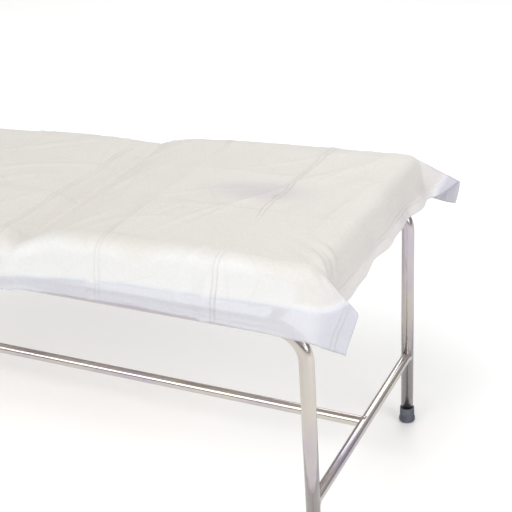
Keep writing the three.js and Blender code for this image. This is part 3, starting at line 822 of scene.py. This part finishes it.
class COUCH_OT_pads(bpy.types.Operator):
    """Fuses foam and board into padded sections, swells them as cloth and fits them under the sheet"""

    bl_idname = "couch.pads"
    bl_label = "Padded sections"

    def fused(self, name, voxel):
        """One closed skin round the foam and the board of a section, with the level faces of the CAD
        solids."""
        work = bmesh.new()
        for source in (f"{name}_foam", f"{name}_board"):
            work.from_mesh(frame["nodes"][source].data)
        bmesh.ops.remove_doubles(work, verts=work.verts, dist=1e-5)
        mesh = bpy.data.meshes.new(f"pad_{name}")
        work.to_mesh(mesh)
        work.free()
        pad = bpy.data.objects.new(f"pad_{name}", mesh)
        bpy.context.scene.collection.objects.link(pad)
        remesh = pad.modifiers.new("Remesh", "REMESH")
        remesh.mode = "VOXEL"
        remesh.voxel_size = voxel
        self.apply(pad)
        return pad

    def apply(self, obj):
        """Replaces the object's mesh with what its modifiers make of it at this frame."""
        graph = bpy.context.evaluated_depsgraph_get()
        done = bpy.data.meshes.new_from_object(obj.evaluated_get(graph), depsgraph=graph)
        obj.modifiers.clear()
        obj.data = done

    def swell(self, pad, settings, floor):
        """Cloth with inside pressure and no weight, its underside pinned, stepped for twenty frames."""
        scene = bpy.context.scene
        before = points_of(pad)
        pinned = np.nonzero(before[:, 2] < floor)[0]
        pad.vertex_groups.new(name="pin").add(pinned.tolist(), 1.0, "REPLACE")
        cloth = pad.modifiers.new("Cloth", "CLOTH")
        cloth.settings.quality = 5
        cloth.settings.mass = 0.35
        cloth.settings.tension_stiffness = 25
        cloth.settings.compression_stiffness = 25
        cloth.settings.bending_stiffness = 4
        cloth.settings.use_pressure = True
        cloth.settings.uniform_pressure_force = settings.pressure
        cloth.settings.vertex_group_mass = "pin"
        cloth.settings.effector_weights.gravity = 0
        cloth.point_cache.frame_start = 1
        cloth.point_cache.frame_end = 20
        for step in range(1, 21):
            scene.frame_set(step)
        self.apply(pad)
        scene.frame_set(1)
        moved = points_of(pad) - before
        far = np.linalg.norm(moved, axis=1, keepdims=True)
        moved *= np.minimum(1.0, settings.swell / np.maximum(far, 1e-9))
        move_points(pad, before + moved)

    def fit(self, pad, radius, floor_of):
        """Keeps the pad under the sheet and inside the width of the cover, and sinks its underside round
        the board: the height is the lower of the pad's own and the sheet's, with a small slack, and the
        part that is held down grows by a smooth step up the sides."""
        slack, sides_from, sides_over = 0.0025, 0.645, 0.02
        half_width = HALF_WIDTH + 0.0012
        low_part, rim_wide, hole_wide, board_sunk, skin = 0.004, 0.013, 0.010, 0.0175, 0.0002
        co = points_of(pad).astype(float)
        x, y, z = co.T
        down = smooth((z - sides_from) / sides_over) * np.minimum(top_limit(x, y, radius) - slack - z, 0)
        z = np.where(z > sides_from, z + down, z)
        y = np.clip(y, -half_width, half_width)
        co = np.stack([x, y, z], -1)
        bottom, start, end, hole = floor_of(co)
        low = z < bottom + low_part
        rim = np.minimum(HALF_WIDTH - np.abs(y), np.minimum(x - start, end - x))
        inside = low & (rim > rim_wide) & (hole > hole_wide)
        level = np.where(low, np.maximum(z, bottom - skin), z)
        co[:, 2] = np.where(inside, bottom + board_sunk, level)
        move_points(pad, co)

    def execute(self, context):
        settings = context.scene.couch_pad
        radius = context.scene.couch_sheet.edge_round
        vinyl = bpy.data.materials["ivory_vinyl"]
        pin_height = 0.022
        open_foot, open_head = 0.034, 0.044
        hole_from_hinge, hole_half_long, hole_half_wide = 0.402, 0.0945, 0.0575

        def body_floor(co):
            """Bottom of the body section, its two ends, and the distance from its hole: it has none."""
            level, no_hole = np.full(len(co), BOARD_BOTTOM), np.ones(len(co))
            return level, -HALF_LENGTH, BODY_HIGH[0] - open_foot, no_hole

        def head_floor(co):
            """Bottom of the sloping head section, its two ends, and the distance from its hole."""
            away = co[:, 0] - HINGE[0]
            rise = BOARD_BOTTOM + away * math.tan(TILT)
            oval = np.hypot((away - hole_from_hinge) / hole_half_long, co[:, 1] / hole_half_wide) - 1
            return rise, HEAD_START + open_head, HALF_LENGTH, oval * hole_half_wide

        sections = (("body", 0.0085, "frame", body_floor), ("head", 0.0068, "head_section", head_floor))
        for name, voxel, body, floor_of in sections:
            pad = self.fused(name, voxel)
            self.swell(pad, settings, BOARD_BOTTOM + pin_height)
            self.fit(pad, radius, floor_of)
            ease = pad.modifiers.new("Smooth", "LAPLACIANSMOOTH")
            ease.iterations = 2
            ease.lambda_factor = 0.12
            self.apply(pad)
            pad.data.shade_smooth()
            finer = pad.modifiers.new("Subdivision", "SUBSURF")
            finer.levels = finer.render_levels = 1
            paint(pad, vinyl)
            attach(pad, body)
            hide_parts(f"{name}_cover", f"{name}_foam")
        return {"FINISHED"}


class COUCH_OT_sheet(bpy.types.Operator):
    """Drapes the thin sheet over both sections, with packing creases, wrinkles and winged corners"""

    bl_idname = "couch.sheet"
    bl_label = "Throw-away sheet"

    def creases(self, p, q, settings):
        """Height of the packing creases: over each crease line a low tent, falling off as an exponential of
        the distance, its height changing slowly along the line; the lines wander by a sine of the place
        along them."""
        height = np.zeros_like(p)
        first = 0.717
        for k, strength in enumerate((1.0, 0.85, 0.5, 0.7, 0.6, 0.7, 0.6, 0.6)):
            line = first - k * settings.fold_pitch
            away = np.abs(p - line - 0.006 * np.sin(q * 7.0 + k * 1.7) - 0.004 * np.sin(q * 19.0 + k))
            change = 0.65 + 0.35 * np.sin(q * 11.0 + 2.1 * k)
            tent = 0.55 * np.exp(-away / 0.0045) + 0.45 * np.exp(-((away / 0.030) ** 2))
            height += strength * change * tent
        for k, line in enumerate((-0.262, -0.085, 0.095, 0.27)):
            away = np.abs(q - line - 0.004 * np.sin(p * 9.0 + k * 2.3))
            change = 0.5 + 0.5 * np.sin(p * 6.0 + k * 1.9)
            tent = 0.6 * np.exp(-away / 0.0045) + 0.4 * np.exp(-((away / 0.022) ** 2))
            height += 0.42 * change * tent
        return settings.fold_height * height

    def tone(self, u, v):
        """What is behind the cloth: 0 where it lies on the vinyl, rising to 0.6 as it stands off beside the
        cushion and to 1 in the free hem and round the corners, by smooth steps of the distance past the
        edges. A slow sine along the couch moves the first step in and out. Towards 1 the sheet's colour
        turns to a painted highlight and then to painted shade, darker and bluish."""
        side = np.abs(v) - EDGE_Y
        sway = 0.010 * np.sin(u * 19.0 + 1.0) + 0.006 * np.sin(u * 43.0)
        loose = 0.6 * smooth((side + 0.006 + sway) / 0.062) * (1 - 0.8 * smooth((np.abs(u) - 0.85) / 0.06))
        far = np.hypot(np.clip(np.abs(u) - 0.900, 0, None), np.clip(side, 0, None))
        hem = smooth((far - 0.076) / 0.030) * smooth(side / 0.03)
        return np.maximum(loose, hem)

    def hollow(self, u, v):
        """1 where nothing pale backs the cloth: over the breathing hole, fading by an even bell round an
        oval, in the winged corners, and half as much along the end flaps, by smooth steps past the
        edges. The sheet greys its colour by it as painted shade."""
        hole = np.exp(-((((u - 0.664) / 0.100) ** 2 + ((v - 0.006) / 0.050) ** 2) ** 1.6))
        corner = smooth((np.abs(u) - 0.905) / 0.05) * smooth((np.abs(v) - EDGE_Y) / 0.04)
        flap = smooth((np.abs(u) - 0.955) / 0.02)
        corner *= np.where(v > 0, 0.95, 0.70)
        return np.maximum(hole, np.maximum(corner, 0.45 * flap))

    def ridge(self, p, q, place, angle, spread, bend, power):
        """One wrinkle: a narrow bell across a slightly bent line, faded at both its ends by a wide bell."""
        (cx, cy), (long, wide) = place, spread
        along = (p - cx) * math.cos(angle) + (q - cy) * math.sin(angle)
        across = -(p - cx) * math.sin(angle) + (q - cy) * math.cos(angle) + bend * along**2
        return np.exp(-((along / long) ** 2)) * np.exp(-np.abs(across / wide) ** power)

    def wrinkles(self, p, q, settings):
        """Loose wrinkles: ridges whose place, direction, length and width are drawn from a seeded
        generator, a few listed ones where the cloth is pulled, and low swells, which are sines whose own
        phase is a sine."""
        rng = np.random.default_rng(17)
        height = np.zeros_like(p)
        for _ in range(46):
            place = rng.uniform(-0.95, 0.98), rng.uniform(-0.33, 0.33)
            angle = rng.normal(math.radians(62), 0.55) * rng.choice([1, 1, -1])
            spread = rng.uniform(0.05, 0.17), rng.uniform(0.0035, 0.010)
            bend, strength = rng.normal(0, 0.5), rng.uniform(0.25, 0.8)
            height += strength * self.ridge(p, q, place, angle, spread, bend, 1.4)
        for cx, cy, degrees, long, wide, strength in (
            (0.70, 0.02, 57, 0.22, 0.0050, 1.3),
            (0.60, -0.12, 57, 0.13, 0.0045, 0.9),
            (0.80, 0.14, 62, 0.12, 0.0050, 0.7),
            (0.53, -0.03, 30, 0.13, 0.0060, 0.35),
            (0.49, -0.18, 22, 0.10, 0.0060, 0.5),
            (0.33, -0.05, 76, 0.16, 0.0070, 1.0),
            (0.30, 0.15, 64, 0.12, 0.0070, 0.9),
            (0.37, -0.21, 60, 0.09, 0.0060, 0.8),
            (0.86, -0.05, 84, 0.14, 0.0070, 0.9),
            (0.895, -0.250, -36, 0.070, 0.0048, 1.9),
            (0.918, -0.225, -32, 0.060, 0.0042, 1.8),
            (0.885, -0.280, -42, 0.065, 0.0046, 1.8),
            (0.935, -0.262, -40, 0.050, 0.0042, 1.5),
            (0.05, 0.05, 25, 0.16, 0.0080, 1.0),
            (-0.02, -0.08, 40, 0.14, 0.0080, 1.0),
            (0.12, -0.15, 55, 0.12, 0.0070, 0.9),
            (0.0, 0.18, 35, 0.14, 0.0080, 0.8),
        ):
            height += strength * self.ridge(p, q, (cx, cy), math.radians(degrees), (long, wide), 0.5, 1.3)
        swells = (1 + np.sin(p * 21 + 3 * np.sin(q * 9))) * (1 + np.sin(q * 26 + 2 * np.sin(p * 7)))
        swells *= 0.35 / 2
        return settings.wrinkle_height * (height + swells)

    def hanging(self, u, v, point):
        """Sway of the hanging cloth: outwards by a sum of sines along the hem, growing with the drop below
        the top, and three pleats on the near side, each a bell along the hem."""
        turned_down = 0.045
        drop_side = np.clip(np.abs(v) - EDGE_Y - turned_down, 0, None)
        drop_end = np.clip(np.abs(u) - EDGE_X - turned_down, 0, None)
        wave_side = np.sin(u * 23 + np.sign(v)) + 0.6 * np.sin(u * 41 + 2.0) + 0.5 * np.sin(u * 67 + 0.4)
        wave_end = (np.sin(v * 31 + 0.8) + 0.6 * np.sin(v * 57 + 2.2)) * 0.055
        corner = smooth((0.93 - np.abs(u)) / 0.08)
        point[..., 1] += np.sign(v) * 0.012 * wave_side * drop_side * corner
        point[..., 0] += np.sign(u) * wave_end * drop_end * smooth((0.30 - np.abs(v)) / 0.06)
        for place, wide, deep in ((0.700, 0.011, 0.0060), (0.452, 0.009, 0.0035), (0.640, 0.012, 0.0030)):
            pleat = np.exp(-(((u - place + 0.10 * drop_side) / wide) ** 2)) * deep
            point[..., 1] -= pleat * smooth(drop_side / 0.05) * (v < 0)
        return point

    def execute(self, context):
        settings = context.scene.couch_sheet
        low_u = np.linspace(0, 1, settings.cells_long + 1)
        # Cells are closer together towards the head end: the step shrinks along the sheet as a smooth step.
        warp = np.cumsum(1.0 - 0.50 * smooth((low_u - 0.45) / 0.25))
        p_line = (warp - warp[0]) / (warp[-1] - warp[0]) * settings.length - settings.length / 2
        q_line = np.linspace(-settings.width / 2, settings.width / 2, settings.cells_wide + 1)
        p, q = np.meshgrid(p_line, q_line, indexing="ij")
        # The sheet lies askew and off centre, its hem waves, and it is pulled towards the near head corner.
        hem = 0.0016 * np.sin(p * 17) * smooth((np.abs(q) - 0.38) / 0.04)
        c, s = math.cos(settings.skew), math.sin(settings.skew)
        pulled = 0.008 * smooth((0.05 - q) / 0.3) * smooth((p - 0.5) / 0.4) * smooth((q + 0.41) / 0.10)
        u = c * p + s * q + 0.003 + pulled
        v = -s * p + c * (q + hem * np.sign(q)) + 0.005 + 0.015 * smooth((0.92 - p) / 0.75)
        point = drape(u, v, settings.edge_round)
        point = self.hanging(u, v, point)
        normal = unit(np.cross(np.gradient(point, axis=0), np.gradient(point, axis=1)))
        height = self.creases(u, v, settings) + self.wrinkles(u, v, settings)
        calm = 1 - 0.55 * np.exp(-(((u - CREASE_X) / 0.03) ** 2))
        point = point + normal * (height * calm)[..., None]
        faces = grid_faces(*p.shape, False)
        sheet = mesh_object("draped_sheet", point, faces, uv=np.stack([p, q], -1))
        for name, values in (("tone", self.tone(u, v)), ("hollow", self.hollow(u, v))):
            layer = sheet.data.attributes.new(name, "FLOAT", "POINT")
            layer.data.foreach_set("value", values.astype(np.float32).ravel())
        paint(sheet, bpy.data.materials["non_woven_cloth"])
        wall = sheet.modifiers.new("Solidify", "SOLIDIFY")
        wall.thickness = settings.thickness
        wall.offset = 1.0
        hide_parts("sheet_body", "sheet_head")
        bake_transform(sheet)
        return {"FINISHED"}


class COUCH_OT_stage(bpy.types.Operator):
    """Lays the floor and sets the lights and the camera"""

    bl_idname = "couch.stage"
    bl_label = "Stage"

    def lamp(self, name, power, size, place, target, colour=(1, 1, 1)):
        """A square soft box at a place, facing a target."""
        data = bpy.data.lights.new(name, "AREA")
        data.shape = "RECTANGLE"
        data.size, data.size_y = size
        data.energy = power
        data.color = colour
        obj = bpy.data.objects.new(name, data)
        obj.location = place
        obj.rotation_euler = (Vector(target) - Vector(place)).to_track_quat("-Z", "Y").to_euler()
        bpy.context.scene.collection.objects.link(obj)

    def execute(self, context):
        settings = context.scene.couch_stage
        scene = context.scene
        scene.view_settings.view_transform = "Standard"
        side = np.linspace(-9, 9, 13)
        x, y = np.meshgrid(side, side, indexing="ij")
        floor = mesh_object("floor", np.stack([x, y, 0 * x], -1), grid_faces(13, 13, False))
        material, shader = new_material("pale_floor", tuple(settings.floor_colour), 0.55)
        where = coordinates(material)
        mottle = node(material, "ShaderNodeTexNoise", Scale=2.0, Detail=3.0)
        wire(material, where, 0, mottle, "Vector")
        colour = settings.floor_colour
        dull = [c * 0.985 for c in colour]
        ramped(material, shader, "Base Color", mottle, "Fac", [(0.3, dull), (0.7, list(colour))])
        paint(floor, material)

        world = bpy.data.worlds.new("room")
        scene.world = world
        world.use_nodes = True
        where = node(world, "ShaderNodeTexCoord")
        split = node(world, "ShaderNodeSeparateXYZ")
        wire(world, where, "Generated", split, 0)
        height = node(world, "ShaderNodeMapRange")
        height.inputs["From Min"].default_value = -1.0
        wire(world, split, "Z", height, "Value")
        room = ramp(world, height, "Result", [
            (0.0, (0.80, 0.80, 0.82)), (0.47, (0.62, 0.61, 0.64)), (0.53, (0.30, 0.28, 0.33)),
            (0.60, (0.70, 0.69, 0.70)), (0.78, (1.0, 1.0, 1.0)), (1.0, (1.0, 0.99, 0.98)),
        ])
        background = world.node_tree.nodes["Background"]
        background.inputs["Strength"].default_value = settings.world_strength
        wire(world, room, "Color", background, "Color")
        # What the eye sees beyond the floor is one pale tone; the room above only lights the couch.
        pale = node(world, "ShaderNodeBackground", Color=(0.93, 0.93, 0.94, 1))
        seen = node(world, "ShaderNodeLightPath")
        choose = node(world, "ShaderNodeMixShader")
        wire(world, seen, "Is Camera Ray", choose, 0)
        wire(world, background, 0, choose, 1)
        wire(world, pale, 0, choose, 2)
        wire(world, choose, 0, world.node_tree.nodes["World Output"], "Surface")

        sun = bpy.data.lights.new("key_light", "SUN")
        sun.energy = settings.key_strength
        sun.angle = math.radians(50)
        sun.color = (1.0, 0.99, 0.975)
        key = bpy.data.objects.new("key_light", sun)
        key.rotation_euler = Vector((-0.25, -0.68, 0.69)).to_track_quat("Z", "Y").to_euler()
        scene.collection.objects.link(key)
        power = settings.fill_power
        self.lamp("fill_box", power, (1.6, 2.2), (3.4, -0.8, 1.8), (0.5, 0, 0.6), (0.95, 0.97, 1.0))
        self.lamp("back_box", power, (2.5, 1.2), (0.4, 3.4, 2.4), (0.3, 0, 0.6))

        data = bpy.data.cameras.new("camera")
        data.sensor_width = 36.0
        data.lens = settings.lens
        data.shift_x, data.shift_y = -44.0 / 512.0, 44.0 / 512.0
        yaw, pitch, roll = (math.radians(a) for a in (24.273, 28.430, -2.669))
        flat_part = math.cos(pitch)
        forward = Vector((-math.sin(yaw) * flat_part, math.cos(yaw) * flat_part, -math.sin(pitch)))
        right = forward.cross(Vector((0, 0, 1))).normalized()
        up = right.cross(forward)
        image_right = math.cos(roll) * right + math.sin(roll) * up
        image_up = -math.sin(roll) * right + math.cos(roll) * up
        turn = Matrix((image_right, image_up, -forward)).transposed()
        camera = bpy.data.objects.new("camera", data)
        camera.matrix_world = Matrix.Translation((1.61137, -1.92151, 1.61457)) @ turn.to_4x4()
        scene.collection.objects.link(camera)
        scene.camera = camera
        return {"FINISHED"}


class COUCH_PT_panel(bpy.types.Panel):
    """Lists the steps that build the couch"""

    bl_idname = "COUCH_PT_panel"
    bl_label = "Massage couch"
    bl_space_type = "VIEW_3D"
    bl_region_type = "UI"
    bl_category = "Couch"

    def draw(self, context):
        for group in SETTINGS:
            settings = getattr(context.scene, group)
            box = self.layout.box()
            for name in settings.bl_rna.properties.keys():
                if name not in ("rna_type", "name"):
                    box.prop(settings, name)
        for operator in STEPS:
            self.layout.operator(operator.bl_idname)


SETTINGS = {
    "couch_frame": CouchFrameSettings, "couch_pad": CouchPadSettings,
    "couch_sheet": CouchSheetSettings, "couch_stage": CouchStageSettings,
}
STEPS = (
    COUCH_OT_stage, COUCH_OT_finishes, COUCH_OT_tubes, COUCH_OT_prop, COUCH_OT_rubbers, COUCH_OT_pads,
    COUCH_OT_sheet,
)
CLASSES = (*SETTINGS.values(), *STEPS, COUCH_PT_panel)


def register():
    for item in CLASSES:
        bpy.utils.register_class(item)
    for name, settings in SETTINGS.items():
        setattr(bpy.types.Scene, name, PointerProperty(type=settings))


def unregister():
    for name in SETTINGS:
        delattr(bpy.types.Scene, name)
    for item in reversed(CLASSES):
        bpy.utils.unregister_class(item)


def main():
    register()
    bpy.ops.couch.stage()
    bpy.ops.couch.finishes()
    bpy.ops.couch.tubes()
    bpy.ops.couch.prop()
    bpy.ops.couch.rubbers()
    bpy.ops.couch.pads()
    bpy.ops.couch.sheet()


if __name__ == "__main__":
    main()
